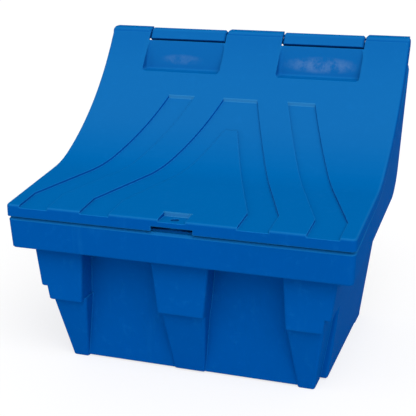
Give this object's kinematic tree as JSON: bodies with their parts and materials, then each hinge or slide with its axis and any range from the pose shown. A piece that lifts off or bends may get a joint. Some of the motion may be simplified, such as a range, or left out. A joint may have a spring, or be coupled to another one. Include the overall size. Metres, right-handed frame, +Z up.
{
  "type": "grit salt bin",
  "caption": "Nestable moulded grit bin: ribbed tapering tub, stepped rim band and a swept channelled lid that hinges at the back on steel rods, with a padlock eye in front.",
  "frame": {"origin": "centre of the bin's bounding box in plan, on the ground under its feet", "axes": "+Z up, +Y towards the hinge and the back, -Y towards the padlock eye and the front, +X to the right of a person who faces the front"},
  "size_m": [1.0668, 0.8768, 0.9592],
  "materials": {
    "tub_plastic": "rotationally moulded polyethylene with a fine satin texture",
    "lid_plastic": "rotationally moulded polyethylene with a fine satin texture",
    "rod_steel": "drawn stainless bar"
  },
  "bodies": {
    "tub": {"tub": "tub_plastic", "hinge_rod_left": "rod_steel", "hinge_rod_right": "rod_steel"},
    "lid": {"lid": "lid_plastic", "rod_plug_left": "lid_plastic", "rod_plug_right": "lid_plastic"}
  },
  "joints": [
    {"name": "lid_hinge", "type": "hinge", "parent": "tub", "child": "lid", "pos_m": [0, 0.41044, 0.93915], "axis": [-1, 0, 0], "range_deg": [0, 130]}
  ]
}
